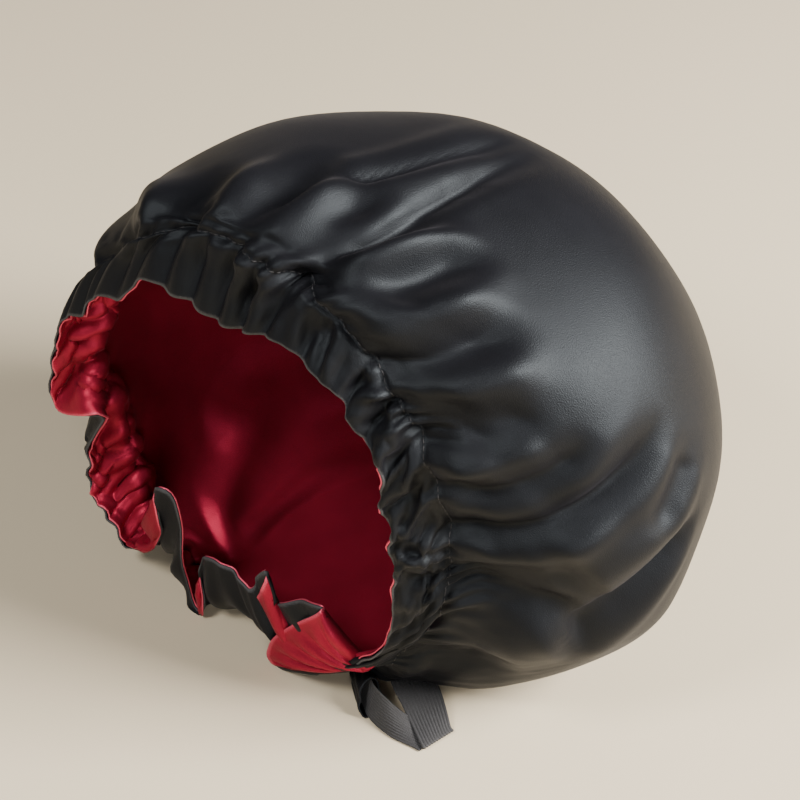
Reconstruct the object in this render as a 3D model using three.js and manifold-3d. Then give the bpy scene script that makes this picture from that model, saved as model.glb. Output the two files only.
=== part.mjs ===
// Sleep bonnet: a big soft satin crown on a gathered elastic casing, lined with satin.
// Millimetres, +Z up. The mouth faces -Y, the crown rests on its underside at z = 0.
import * as THREE from 'three';
import Module from 'manifold-3d';

const wasm = await Module();
wasm.setup();

// Mouth: the ring of the hem, where the head goes in.
const MOUTH_WIDTH = 196;
const MOUTH_HEIGHT = 179;
const MOUTH_RISE = 9;
const MOUTH_SHIFT = -8;

// Casing: the gathered band between the hem and the stitch line, with the elastic inside.
const CASING_LENGTH = 30;
const CASING_PUFF = 1.6;

// Crown: the balloon of cloth behind the casing.
const CROWN_WIDTH = 296;
const CROWN_HEIGHT = 244;
const CROWN_DEPTH = 196;

// Cloth: the walls, the gap between the layers and the steepest slope a fold may have.
const CROWN_WALL = 1.2;
const LINING_WALL = 1.0;
const LAYER_GAP = 0.5;
const STEEPEST = 0.36;

// Elastic: a flat woven band that runs in the casing, with a loop pulled out underneath.
const ELASTIC_WIDTH = 16;
const ELASTIC_THICKNESS = 1.0;
const ELASTIC_CLEARANCE = 0.4;

// Folds: the size of a full fold and of a full gather of the hem.
const FOLD_DEPTH = 7;
const FOLD_WIDTH = 9;
const GATHER_DEPTH = 7;
const GATHER_CREST = 0.45;
const GATHER_ROUNDNESS = 0.3;
const PLEAT_REACH = 0.24;

// Grid: columns round the mouth, thinned out towards the back.
const COLUMNS = 176;

// Reach runs from the hem (0) along the cloth to the back of the crown (1).
// A section's edges are the mouth's, in that share, plus shares of the crown's width or height.
const STITCH_REACH = 0.11;
const SECTIONS = table(
  ['reach', 'mouth', 'casing', 'depth', 'left', 'right', 'bottom', 'top', 'lean'],
  [
    [0.00, 1.00, 0.00, 0.000, 0.000, 0.000, 0.000, 0.000, 0.00],
    [0.055, 0.75, 0.30, 0.000, -0.093, 0.103, -0.028, 0.266, 0.00],
    [0.11, 0.50, 0.53, 0.000, -0.179, 0.213, -0.031, 0.520, -0.17],
    [0.18, 0.25, 0.53, 0.046, -0.285, 0.377, -0.034, 0.750, -0.20],
    [0.27, 0.00, 0.53, 0.153, -0.399, 0.541, -0.037, 0.959, -0.13],
    [0.38, 0.00, 0.53, 0.316, -0.409, 0.584, -0.041, 0.959, 0.00],
    [0.50, 0.00, 0.53, 0.485, -0.389, 0.578, -0.033, 0.943, 0.07],
    [0.62, 0.00, 0.53, 0.653, -0.331, 0.527, -0.008, 0.898, 0.07],
    [0.74, 0.00, 0.53, 0.811, -0.236, 0.432, 0.041, 0.807, 0.00],
    [0.86, 0.00, 0.53, 0.934, -0.095, 0.284, 0.172, 0.668, 0.00],
    [0.94, 0.00, 0.53, 0.985, 0.000, 0.182, 0.311, 0.537, 0.00],
    [1.00, 0.00, 0.53, 1.000, 0.091, 0.091, 0.426, 0.426, 0.00],
  ],
);
const UNDERSIDE_SQUARENESS = 0.68;

// Folds of the crown. Each runs through three places, given as an angle in degrees round the
// mouth (0 right, 90 top) and a reach. Width and rise are shares of a full fold; lap lifts the
// cloth on the side of the larger angle and sinks it on the other, as where one fold lies on
// the next.
const FOLDS = table(
  ['a0', 'r0', 'a1', 'r1', 'a2', 'r2', 'width', 'rise', 'lap'],
  [
    [73, 0.08, 80, 0.25, 81, 0.68, 0.8, -0.75, 0.75],
    [94, 0.33, 88.5, 0.44, 87, 0.66, 0.7, -0.45, 0.45],
    [80, 0.08, 89, 0.22, 90, 0.34, 0.8, 0.65, 0.00],
    [83, 0.13, 85.5, 0.24, 86.5, 0.35, 0.8, -0.95, 0.00],
    [95, 0.10, 99, 0.19, 109, 0.33, 0.9, 0.70, 0.00],
    [90, 0.11, 97, 0.22, 102, 0.39, 0.9, -0.80, 0.00],
    [104, 0.08, 110, 0.16, 119, 0.30, 1.0, -0.60, 0.00],
    [115, 0.08, 124, 0.17, 134, 0.30, 1.0, 0.50, 0.00],
    [128, 0.09, 138, 0.18, 150, 0.34, 1.0, -0.60, 0.00],
    [77, 0.19, 73.5, 0.29, 69, 0.37, 1.0, 0.60, 0.00],
    [79, 0.17, 78, 0.28, 71, 0.38, 0.7, -0.55, 0.00],
    [62, 0.20, 67, 0.27, 69, 0.36, 0.9, -0.90, 0.00],
    [58, 0.13, 60, 0.22, 60, 0.34, 1.1, 0.60, 0.00],
    [50, 0.12, 51, 0.20, 57, 0.32, 1.0, -0.90, 0.25],
    [45, 0.13, 45, 0.21, 47, 0.31, 1.2, 0.45, 0.00],
    [31, 0.10, 37, 0.15, 42, 0.20, 0.9, -0.60, 0.00],
    [31, 0.17, 34, 0.21, 38, 0.27, 1.1, -0.55, 0.00],
    [18, 0.13, 23, 0.22, 31, 0.31, 0.8, -0.80, 0.35],
    [25, 0.14, 27, 0.20, 30, 0.26, 1.1, 0.45, 0.00],
    [8, 0.10, 14, 0.24, 30, 0.43, 0.9, -1.00, 0.45],
    [4, 0.11, 7, 0.20, 11, 0.32, 1.1, 0.55, 0.00],
    [0, 0.10, 359, 0.20, 357, 0.29, 1.1, -1.00, 0.30],
    [353, 0.12, 352, 0.19, 350, 0.27, 0.6, -0.45, 0.60],
    [17, 0.44, 11, 0.40, 4, 0.35, 0.8, -0.50, 0.00],
    [341, 0.25, 351, 0.32, 5, 0.47, 1.0, -1.20, 0.70],
    [333, 0.16, 338, 0.20, 343, 0.25, 0.9, 0.45, 0.00],
    [320, 0.12, 324, 0.16, 329, 0.22, 1.0, -0.90, 0.00],
    [160, 0.10, 166, 0.20, 172, 0.36, 1.1, -0.65, 0.00],
    [176, 0.11, 184, 0.22, 190, 0.38, 1.2, 0.55, 0.00],
    [194, 0.10, 203, 0.20, 214, 0.34, 1.1, -0.70, 0.00],
    [255, 0.27, 240, 0.36, 222, 0.56, 1.8, -1.00, 0.00],
    [252, 0.31, 247, 0.42, 243, 0.58, 1.2, -0.60, 0.00],
    [272, 0.22, 264, 0.32, 260, 0.46, 1.5, -0.70, 0.00],
  ],
);

// Broad swells and slack places of the crown, with their spread as an angle and a reach.
const SWELLS = table(
  ['angle', 'reach', 'wide', 'long', 'rise'],
  [
    [48, 0.50, 26, 0.16, 0.45],
    [105, 0.52, 20, 0.14, -0.35],
    [20, 0.22, 14, 0.10, -0.50],
    [335, 0.40, 16, 0.12, 0.55],
    [150, 0.45, 24, 0.16, 0.40],
    [200, 0.50, 20, 0.14, -0.50],
  ],
);

// Gathers of the hem: where each is drawn in, how deep at the hem and how deep the pleat is
// that runs on from it into the crown, as shares of a full gather.
const GATHERS = table(
  ['angle', 'hem', 'pleat'],
  [
    [8, 0.45, 0.30],
    [20, 0.60, 0.45],
    [31, 0.40, 0.40],
    [46, 0.45, 0.35],
    [60, 0.40, 0.30],
    [72, 0.65, 0.50],
    [84, 0.45, 0.30],
    [95, 0.65, 0.35],
    [106, 0.50, 0.35],
    [118, 0.60, 0.35],
    [131, 0.70, 0.35],
    [144, 0.65, 0.35],
    [158, 0.80, 0.40],
    [171, 0.75, 0.40],
    [184, 0.85, 0.40],
    [195, 1.10, 0.40],
    [206, 1.30, 0.40],
    [221, 1.00, 0.35],
    [240, 1.90, 0.35],
    [270, 2.20, 0.00],
    [292, 1.20, 0.00],
    [306, 1.30, 0.20],
    [322, 0.55, 0.45],
    [340, 0.65, 0.45],
    [354, 0.50, 0.40],
  ],
);

// The pulled-out loop of elastic, from one end under the casing to the other. Each step gives the
// middle of the band as shares of half the mouth's width (out), the casing's length (back) and
// the band's width (up), then the direction across the band: its turn on the floor and its tilt
// up from it in degrees, and its width as a share of the band's, more where it folds over.
const LOOP = table(
  ['out', 'back', 'up', 'turn', 'tilt', 'wide'],
  [
    [0.51, 0.70, 1.15, 118, 68, 1.00],
    [0.65, 0.36, 0.62, 118, 68, 1.00],
    [0.765, 0.22, 0.49, 121, 67, 1.00],
    [0.875, 0.18, 0.43, 137, 52, 1.00],
    [0.98, 0.25, 0.165, 138, 14, 1.00],
    [1.045, 0.35, 0.06, 108, 2, 1.03],
    [1.082, 0.413, 0.045, 79, 0, 1.07],
    [1.098, 0.427, 0.094, 79, 0, 1.07],
    [1.082, 0.43, 0.144, 79, 0, 1.07],
    [1.015, 0.577, 0.275, 60, 4, 1.00],
    [0.94, 0.743, 0.41, 56, 2, 1.00],
    [0.862, 0.907, 0.59, 56, 0, 1.00],
    [0.775, 1.07, 0.94, 56, -4, 1.00],
    [0.673, 1.20, 1.50, 56, -6, 1.00],
  ],
);

// Turns rows of numbers into rows with named columns.
function table(names, rows) {
  return rows.map((row) => Object.fromEntries(names.map((name, i) => [name, row[i]])));
}

function smooth(t) {
  const x = Math.min(1, Math.max(0, t));
  return x * x * (3 - 2 * x);
}

// The edges of one section in millimetres.
function sectionSizes(row) {
  return [
    row.mouth * (MOUTH_SHIFT - MOUTH_WIDTH / 2) + row.left * CROWN_WIDTH,
    row.mouth * (MOUTH_SHIFT + MOUTH_WIDTH / 2) + row.right * CROWN_WIDTH,
    row.mouth * MOUTH_RISE + row.bottom * CROWN_HEIGHT,
    row.mouth * (MOUTH_RISE + MOUTH_HEIGHT) + row.top * CROWN_HEIGHT,
    row.casing * CASING_LENGTH + row.depth * CROWN_DEPTH,
    row.lean * CASING_LENGTH,
  ];
}

// The section at any reach: the rows' sizes joined by a smooth curve.
function sectionAt(reach) {
  const last = SECTIONS.length - 2;
  const found = SECTIONS.findIndex((row) => row.reach > reach);
  const k = Math.min(last, Math.max(0, (found < 0 ? SECTIONS.length : found) - 1));
  const at = (i) => Math.min(SECTIONS.length - 1, Math.max(0, i));
  const rows = [k - 1, k, k + 1, k + 2].map((i) => SECTIONS[at(i)]);
  const sizes = rows.map(sectionSizes);
  const span = rows[2].reach - rows[1].reach;
  const t = (reach - rows[1].reach) / span;
  return sizes[0].map((_, c) => {
    const slope0 = (sizes[2][c] - sizes[0][c]) / (rows[2].reach - rows[0].reach);
    const slope1 = (sizes[3][c] - sizes[1][c]) / (rows[3].reach - rows[1].reach);
    return (1 + 2 * t) * (1 - t) ** 2 * sizes[1][c]
      + t * (1 - t) ** 2 * span * slope0
      + t * t * (3 - 2 * t) * sizes[2][c]
      + t * t * (t - 1) * span * slope1;
  });
}

// The crown's plain form, before folds and gathers.
function formPoint(angle, reach) {
  const [left, right, bottom, top, back, lean] = sectionAt(reach);
  const c = Math.cos(angle);
  const s = Math.sin(angle);
  const under = Math.min(1, Math.max(0, -s * 2.2));
  const power = 1 - (1 - UNDERSIDE_SQUARENESS) * under;
  const across = Math.sign(c) * Math.abs(c) ** power;
  return new THREE.Vector3(
    (left + right) / 2 + ((right - left) / 2) * across,
    back + lean * s,
    (bottom + top) / 2 + ((top - bottom) / 2) * s,
  );
}

// The direction round the mouth and the outward one that layers and folds move along: the plain
// form's normal, evened out over the casing's length.
function formFrame(angle, reach) {
  const step = 0.002;
  const stretch = STITCH_REACH / 2;
  const low = Math.max(0, Math.min(1 - step, reach) - stretch);
  const high = Math.min(1 - step / 2, Math.max(STITCH_REACH, reach + stretch));
  const near = Math.min(1 - 2 * step, reach);
  const round = formPoint(angle + step, near).sub(formPoint(angle - step, near)).normalize();
  const along = formPoint(angle, high).sub(formPoint(angle, low));
  return { out: along.cross(round).normalize(), round };
}

// A place on the cloth spread flat, so that a fold's width is the same everywhere.
const CLOTH_LENGTH = CASING_LENGTH + CROWN_DEPTH + CROWN_HEIGHT / 2;
function flat(degrees, reach) {
  const [left, right, bottom, top] = sectionAt(reach);
  const radius = (right - left + top - bottom) / 4;
  return [THREE.MathUtils.degToRad(degrees) * radius, reach * CLOTH_LENGTH];
}

const FOLD_STEPS = 8;
const FOLD_LINES = FOLDS.map((fold) => {
  const line = [];
  for (let i = 0; i <= FOLD_STEPS; i++) {
    const t = i / FOLD_STEPS;
    const weights = [(1 - t) * (1 - 2 * t), 4 * t * (1 - t), t * (2 * t - 1)];
    const near = (angle) => angle - 360 * Math.round((angle - fold.a1) / 360);
    const angle = weights[0] * near(fold.a0) + weights[1] * fold.a1 + weights[2] * near(fold.a2);
    const reach = weights[0] * fold.r0 + weights[1] * fold.r1 + weights[2] * fold.r2;
    line.push([angle, reach]);
  }
  return line;
});

// How far one fold lifts the cloth at a place.
function foldRise(fold, line, degrees, reach) {
  const angle = degrees - 360 * Math.round((degrees - fold.a1) / 360);
  if (Math.abs(angle - fold.a1) > 60) return 0;
  const place = flat(angle, reach);
  let best = { distance: Infinity, beside: 0, t: 0 };
  for (let i = 0; i < FOLD_STEPS; i++) {
    const p = flat(...line[i]);
    const q = flat(...line[i + 1]);
    const d = [q[0] - p[0], q[1] - p[1]];
    const w = [place[0] - p[0], place[1] - p[1]];
    const length = Math.hypot(...d);
    const t = Math.min(1, Math.max(0, (w[0] * d[0] + w[1] * d[1]) / length ** 2));
    const distance = Math.hypot(w[0] - t * d[0], w[1] - t * d[1]);
    if (distance < best.distance) {
      const beside = (w[0] * d[1] - w[1] * d[0]) / length;
      best = { distance, beside, t: (i + t) / FOLD_STEPS };
    }
  }
  const width = fold.width * FOLD_WIDTH;
  const x = best.distance / width;
  const side = Math.min(1, Math.max(-1, best.beside / width)) * 1.4;
  const fade = smooth(best.t / 0.25 + 0.35) * smooth((1 - best.t) / 0.3);
  const bump = Math.exp(-x * x);
  return (fold.rise + fold.lap * side) * bump * fade * FOLD_DEPTH;
}

function swellRise(degrees, reach) {
  return SWELLS.reduce((sum, swell) => {
    const turn = degrees - swell.angle;
    const x = (turn - 360 * Math.round(turn / 360)) / swell.wide;
    const y = (reach - swell.reach) / swell.long;
    return sum + swell.rise * FOLD_DEPTH * Math.exp(-x * x - y * y);
  }, 0);
}

// The gathers' wave: drawn in at each gather and standing out between, full at the hem and gone
// inside the crown. It also moves the cloth round the mouth, which makes the crests rounder.
function gatherAt(degrees, reach) {
  const a = ((degrees % 360) + 360) % 360;
  const found = GATHERS.findIndex((row) => row.angle > a);
  const next = GATHERS[found < 0 ? 0 : found];
  const last = GATHERS[(found < 0 ? GATHERS.length : found || GATHERS.length) - 1];
  const span = (next.angle - last.angle + 360) % 360;
  const t = ((a - last.angle + 360) % 360) / span;
  const near = t < 0.5 ? last : next;
  const casing = Math.max(0, 1 - reach / STITCH_REACH);
  const pleat = smooth((PLEAT_REACH - reach) / (PLEAT_REACH - STITCH_REACH));
  const size = (row) => casing * row.hem + (1 - casing) * pleat * row.pleat;
  const dip = Math.cos(Math.PI * t) ** 2 * size(near);
  const crest = (Math.sin(Math.PI * t) ** 2 * (size(last) + size(next)) * GATHER_CREST) / 2;
  const arc = THREE.MathUtils.degToRad(span) * (MOUTH_WIDTH + MOUTH_HEIGHT) / 4;
  const shift = (arc * GATHER_ROUNDNESS * Math.sin(4 * Math.PI * t)) / (4 * Math.PI);
  return { out: (crest - dip) * GATHER_DEPTH, round: shift * casing };
}

// The middle of the casing swells where the elastic lies.
function puffAt(reach) {
  return CASING_PUFF * Math.sin(Math.PI * Math.min(1, reach / STITCH_REACH));
}

// The crown's outer surface, flattened where it rests.
function crownPoint(angle, reach) {
  const degrees = THREE.MathUtils.radToDeg(angle);
  const { out, round } = formFrame(angle, reach);
  const gather = gatherAt(degrees, reach);
  const folds = FOLDS.reduce((sum, fold, i) => {
    return sum + foldRise(fold, FOLD_LINES[i], degrees, reach);
  }, 0);
  const rise = gather.out + puffAt(reach) + (folds + swellRise(degrees, reach)) * smooth(reach / 0.1);
  const point = formPoint(angle, reach);
  point.addScaledVector(out, rise);
  point.addScaledVector(round, gather.round);
  point.z = Math.max(0, point.z);
  return { point, out };
}

// Rows of the grid: the reach of each and how many columns it has.
const ROWS = [
  [0, 1], [0.03, 1], [0.075, 1], [STITCH_REACH, 2], [0.145, 2], [0.185, 2], [0.23, 2],
  [0.28, 2], [0.335, 2], [0.40, 2], [0.49, 4], [0.60, 4], [0.72, 4], [0.84, 4], [0.94, 8],
].map(([reach, every]) => ({ reach, count: COLUMNS / every }));

// One layer of points: the rows from the hem to the back and the last point of the crown.
function crownGrid() {
  const rows = ROWS.map(({ reach, count }) => {
    return Array.from({ length: count }, (_, i) => crownPoint((i / count) * Math.PI * 2, reach));
  });
  rows.push([crownPoint(Math.PI / 2, 1)]);
  return rows;
}

// Triangles of a layer as [row, column] corners, facing out, with rows of equal, half or one
// point next to each other.
function gridFaces(rows) {
  const faces = [];
  for (let k = 0; k < rows.length - 1; k++) {
    const n = rows[k].length;
    const m = rows[k + 1].length;
    for (let i = 0; i < n; i++) {
      const a = [k, i];
      const b = [k, (i + 1) % n];
      if (m === 1) {
        faces.push([a, [k + 1, 0], b]);
      } else if (m === n) {
        faces.push([a, [k + 1, i], [k + 1, b[1]]], [a, [k + 1, b[1]], b]);
      } else {
        const half = Math.floor(i / 2);
        const upper = [k + 1, half];
        const next = [k + 1, (half + 1) % m];
        if (i % 2 === 0) faces.push([a, upper, b]);
        else faces.push([a, upper, next], [a, next, b]);
      }
    }
  }
  return faces;
}

// How steeply the faces round each point slope away from the plain form: 1 where they follow
// it, less on the flank of a gather.
function gridSlopes(rows, faces) {
  const slopes = rows.map((row) => row.map(() => 1));
  for (const face of faces) {
    const [a, b, c] = face.map(([k, i]) => rows[k][i].point);
    const normal = b.clone().sub(a).cross(c.clone().sub(a)).normalize();
    for (const [k, i] of face) {
      slopes[k][i] = Math.min(slopes[k][i], normal.dot(rows[k][i].out));
    }
  }
  return slopes;
}

// A layer moved inwards along the plain form's normals, and farther where the cloth is steep, so
// that deep gathers keep their wall and never cross themselves.
function insetGrid(rows, slopes, inset) {
  return rows.map((row, k) => row.map(({ point, out }, i) => {
    const move = -inset / Math.max(STEEPEST, slopes[k][i]);
    return { point: point.clone().addScaledVector(out, move), out };
  }));
}

// A closed wall between an outer and an inner layer, joined at the hem.
function wallGeometry(outer, inner, faces) {
  const start = [];
  let total = 0;
  for (const row of outer) {
    start.push(total);
    total += row.length;
  }
  const index = [];
  for (const face of faces) {
    const [a, b, c] = face.map(([k, i]) => start[k] + i);
    index.push(a, b, c, total + a, total + c, total + b);
  }
  const hem = outer[0].length;
  for (let i = 0; i < hem; i++) {
    const j = (i + 1) % hem;
    index.push(i, j, total + j, i, total + j, total + i);
  }
  return solidGeometry([...outer.flat(), ...inner.flat()], index);
}

// The space that the crown fills, a little larger all round, closed across the mouth.
function crownSpace(outer, slopes, faces, clearance) {
  const grown = insetGrid(outer, slopes, -clearance);
  const points = grown.flat();
  const start = grown.map((_, k) => grown.slice(0, k).reduce((sum, row) => sum + row.length, 0));
  const index = faces.flatMap((face) => face.map(([k, i]) => start[k] + i));
  const hem = grown[0];
  const middle = hem.reduce((sum, { point }) => sum.add(point), new THREE.Vector3());
  points.push({ point: middle.divideScalar(hem.length) });
  hem.forEach((_, i) => index.push(i, (i + 1) % hem.length, points.length - 1));
  return solidGeometry(points, index);
}

function toManifold(geometry) {
  return new wasm.Manifold(new wasm.Mesh({
    numProp: 3,
    vertProperties: geometry.attributes.position.array,
    triVerts: geometry.index.array,
  }));
}

function fromManifold(manifold) {
  const { vertProperties, triVerts } = manifold.getMesh();
  const geometry = new THREE.BufferGeometry();
  geometry.setAttribute('position', new THREE.BufferAttribute(vertProperties, 3));
  geometry.setIndex(new THREE.BufferAttribute(triVerts, 1));
  geometry.computeVertexNormals();
  return geometry;
}

// One geometry less another, as the largest piece that is left.
function cutGeometry(geometry, cutter) {
  const pieces = toManifold(geometry).subtract(toManifold(cutter)).decompose();
  const largest = pieces.reduce((best, piece) => (piece.volume() > best.volume() ? piece : best));
  return fromManifold(largest);
}

function solidGeometry(points, index) {
  const geometry = new THREE.BufferGeometry();
  const positions = points.flatMap(({ point }) => point.toArray());
  geometry.setAttribute('position', new THREE.Float32BufferAttribute(positions, 3));
  geometry.setIndex(new THREE.Uint32BufferAttribute(index, 1));
  geometry.computeVertexNormals();
  return geometry;
}

// The loop's stations in millimetres: the band's middle and half its width as a vector.
function loopStations() {
  return LOOP.map(({ out, back, up, turn, tilt, wide }) => {
    const a = THREE.MathUtils.degToRad(turn);
    const b = THREE.MathUtils.degToRad(tilt);
    const across = new THREE.Vector3(
      Math.cos(a) * Math.cos(b),
      Math.sin(a) * Math.cos(b),
      Math.sin(b),
    );
    return {
      middle: new THREE.Vector3(
        (out * MOUTH_WIDTH) / 2,
        back * CASING_LENGTH,
        up * ELASTIC_WIDTH,
      ),
      across: across.multiplyScalar((wide * ELASTIC_WIDTH) / 2),
    };
  });
}

// A flat band of one thickness along its stations.
function bandGeometry(stations, thickness) {
  const points = [];
  const corners = [[-1, -1], [1, -1], [1, 1], [-1, 1]];
  stations.forEach((station, k) => {
    const before = stations[Math.max(0, k - 1)].middle;
    const after = stations[Math.min(stations.length - 1, k + 1)].middle;
    const up = after.clone().sub(before).cross(station.across).normalize();
    for (const [u, v] of corners) {
      const point = station.middle.clone().addScaledVector(station.across, u);
      points.push({ point: point.addScaledVector(up, (v * thickness) / 2) });
    }
  });
  const index = [];
  const last = 4 * (stations.length - 1);
  for (let k = 0; k < stations.length - 1; k++) {
    for (let c = 0; c < 4; c++) {
      const a = 4 * k + c;
      const b = 4 * k + ((c + 1) % 4);
      index.push(a, b + 4, a + 4, a, b, b + 4);
    }
  }
  index.push(0, 2, 1, 0, 3, 2, last, last + 1, last + 2, last, last + 2, last + 3);
  return solidGeometry(points, index);
}

const satin = new THREE.MeshStandardMaterial({ color: 0x1b191c, roughness: 0.42, metalness: 0 });
const wine = new THREE.MeshStandardMaterial({ color: 0x6d1422, roughness: 0.36, metalness: 0 });
const woven = new THREE.MeshStandardMaterial({ color: 0x17171a, roughness: 0.8, metalness: 0 });

const outer = crownGrid();
const faces = gridFaces(outer);
const slopes = gridSlopes(outer, faces);
const liningInset = CROWN_WALL + LAYER_GAP;

const bonnet = new THREE.Group();

function addPiece(name, geometry, material) {
  const mesh = new THREE.Mesh(geometry, material);
  mesh.name = name;
  bonnet.add(mesh);
  return mesh;
}

addPiece(
  'outer_crown',
  wallGeometry(outer, insetGrid(outer, slopes, CROWN_WALL), faces),
  satin,
);
addPiece(
  'lining',
  wallGeometry(
    insetGrid(outer, slopes, liningInset),
    insetGrid(outer, slopes, liningInset + LINING_WALL),
    faces,
  ),
  wine,
);

addPiece(
  'elastic_loop',
  cutGeometry(
    bandGeometry(loopStations(), ELASTIC_THICKNESS),
    crownSpace(outer, slopes, faces, ELASTIC_CLEARANCE),
  ),
  woven,
);

// The origin is at the middle of the underside.
const box = new THREE.Box3().setFromObject(bonnet);
bonnet.position.set(-(box.min.x + box.max.x) / 2, -(box.min.y + box.max.y) / 2, -box.min.z);

export default bonnet;
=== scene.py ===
# %% [markdown]
# # A satin sleep bonnet
# The bonnet is a balloon of black satin, gathered on a flat elastic round the mouth and lined
# with wine satin. The solid model gives the true size and place. This lesson dresses it: a fine
# cloth surface with its folds and gathers, a lining, a ribbed elastic, stitches and satin.

import math

import bpy
import numpy as np
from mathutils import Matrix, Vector
from mathutils.bvhtree import BVHTree


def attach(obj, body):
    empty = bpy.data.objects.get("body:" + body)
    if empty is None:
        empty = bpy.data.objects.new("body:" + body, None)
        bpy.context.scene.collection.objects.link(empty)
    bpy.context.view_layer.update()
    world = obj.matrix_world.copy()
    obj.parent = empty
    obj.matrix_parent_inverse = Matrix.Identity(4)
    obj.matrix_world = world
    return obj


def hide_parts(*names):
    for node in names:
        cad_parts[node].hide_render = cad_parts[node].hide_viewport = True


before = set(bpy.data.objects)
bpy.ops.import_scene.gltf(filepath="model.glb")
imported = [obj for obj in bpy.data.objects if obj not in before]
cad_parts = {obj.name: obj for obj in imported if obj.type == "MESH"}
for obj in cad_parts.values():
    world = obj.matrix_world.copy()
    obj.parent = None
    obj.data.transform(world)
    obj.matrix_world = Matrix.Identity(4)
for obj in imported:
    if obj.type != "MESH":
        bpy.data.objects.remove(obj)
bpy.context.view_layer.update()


# %% Named tables
def named(names, rows):
    """Each row of a table with its entries by name."""
    return [dict(zip(names.split(), row)) for row in rows]


def table(names, rows):
    """Columns of a table by name, each an array."""
    return dict(zip(names.split(), np.array(rows, dtype=float).T))


# %% [markdown]
# ## The camera
# The bonnet is seen from its front right and from above, with a long lens from one metre, so
# that the mouth opens to the lower left. The camera is placed by its turn round the bonnet and
# its rise over the floor.

# %% Camera
MM = 0.001
# The places in the lesson's tables are measured from the mouth. This is the way from there to
# the origin, which lies in the middle of the underside.
TO_ORIGIN = np.array([-25.8, -104.6, 0.0])
VIEW_TURN, VIEW_RISE = math.radians(40), math.radians(40)
VIEW_DISTANCE, LENS, SENSOR_WIDTH = 1.0, 92.7, 36
VIEW_TARGET = (np.array([-13.0, 130.0, 56.0]) + TO_ORIGIN) * MM

towards_camera = Vector((
    math.sin(VIEW_TURN) * math.cos(VIEW_RISE),
    -math.cos(VIEW_TURN) * math.cos(VIEW_RISE),
    math.sin(VIEW_RISE),
))
camera_data = bpy.data.cameras.new("camera")
camera_data.sensor_width = SENSOR_WIDTH
camera_data.lens = LENS
camera = bpy.data.objects.new("camera", camera_data)
bpy.context.collection.objects.link(camera)
camera.location = Vector(VIEW_TARGET) + towards_camera * VIEW_DISTANCE
camera.rotation_euler = (-towards_camera).to_track_quat("-Z", "Y").to_euler()
bpy.context.scene.camera = camera
print("camera at", [round(x, 3) for x in camera.location])

# %% [markdown]
# ## Floor and light
# A plain pale floor takes the soft shadow. Satin shows its form only through what it reflects,
# so the main light is a wide warm panel from the upper right. A small one shines on the near
# casing and one from the front left into the mouth.

# %% Floor and light
FLOOR_SIZE = 6
LIGHT_AIM = Vector((0, 0, 0.1))
WARM, NEAR_WHITE, COOL = (1.0, 0.95, 0.90), (1.0, 0.97, 0.93), (0.92, 0.93, 1.0, 1)
ROOM_LIGHT = 0.12
PANELS = named("name place size power colour", [
    ["window", (1.35, 0.6, 1.1), 0.75, 160, WARM],
    ["front_light", (0.95, -1.0, 0.6), 0.35, 8, NEAR_WHITE],
    ["mouth_light", (-0.25, -0.95, 1.3), 0.45, 21, NEAR_WHITE],
])

bpy.ops.object.select_all(action="DESELECT")
bpy.ops.mesh.primitive_plane_add(size=FLOOR_SIZE, location=(0, 0, 0))
floor = bpy.context.object
floor.name = "floor"

for row in PANELS:
    bpy.ops.object.light_add(type="AREA", location=row["place"])
    panel = bpy.context.object
    panel.name = row["name"]
    panel.data.shape = "SQUARE"
    panel.data.size = row["size"]
    panel.data.energy = row["power"]
    panel.data.color = row["colour"]
    aim = LIGHT_AIM - Vector(row["place"])
    panel.rotation_euler = aim.to_track_quat("-Z", "Y").to_euler()

world = bpy.data.worlds.new("room")
world.use_nodes = True
background = world.node_tree.nodes["Background"]
background.inputs["Color"].default_value = COOL
background.inputs["Strength"].default_value = ROOM_LIGHT
bpy.context.scene.world = world
print("lights", [row["name"] for row in PANELS])

# %% [markdown]
# ## Shader maths as plain expressions
# A material is easier to read as a formula than as a web of nodes. This small class wraps one
# socket: arithmetic on it adds Math nodes, and `node` makes any other node.


# %% Shader values
class Value:
    """One output socket of a material's nodes, with arithmetic."""

    def __init__(self, tree, socket):
        self.tree = tree
        self.socket = socket

    def node(self, kind, settings=None, **sockets):
        """Any node, its settings first, then its sockets. Its first output is the result."""
        made = self.tree.nodes.new(kind)
        for name, value in (settings or {}).items():
            if name == "stops":
                ramp = made.color_ramp
                while len(ramp.elements) < len(value):
                    ramp.elements.new(0.5)
                for element, (place, colour) in zip(ramp.elements, value):
                    element.position = place
                    element.color = colour
            else:
                setattr(made, name, value)
        for name, value in sockets.items():
            key = int(name[1:]) if name[0] == "_" else name.replace("_", " ")
            if isinstance(value, Value):
                self.tree.links.new(value.socket, made.inputs[key])
            else:
                made.inputs[key].default_value = value
        return Value(self.tree, made.outputs[0])

    def maths(self, operation, *values):
        sockets = {f"_{i}": value for i, value in enumerate(values)}
        return self.node("ShaderNodeMath", {"operation": operation}, **sockets)

    def __add__(self, other):
        return self.maths("ADD", self, other)

    def __radd__(self, other):
        return self.maths("ADD", other, self)

    def __mul__(self, other):
        return self.maths("MULTIPLY", self, other)


def new_material(name, **constants):
    """A material with its shader's plain values set, and a wrapped coordinate to start from."""
    material = bpy.data.materials.new(name)
    material.use_nodes = True
    tree = material.node_tree
    shader = tree.nodes["Principled BSDF"]
    for socket, value in constants.items():
        shader.inputs[socket.replace("_", " ")].default_value = value
    place = tree.nodes.new("ShaderNodeTexCoord")
    return material, shader, Value(tree, place.outputs["Object"])


def link(value, shader, socket):
    value.tree.links.new(value.socket, shader.inputs[socket])


# %% Floor material
PALE = (0.50, 0.430, 0.310, 1)
floor_paint, _, _ = new_material("pale_floor", Roughness=0.9, Base_Color=PALE)
floor.data.materials.append(floor_paint)

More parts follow.
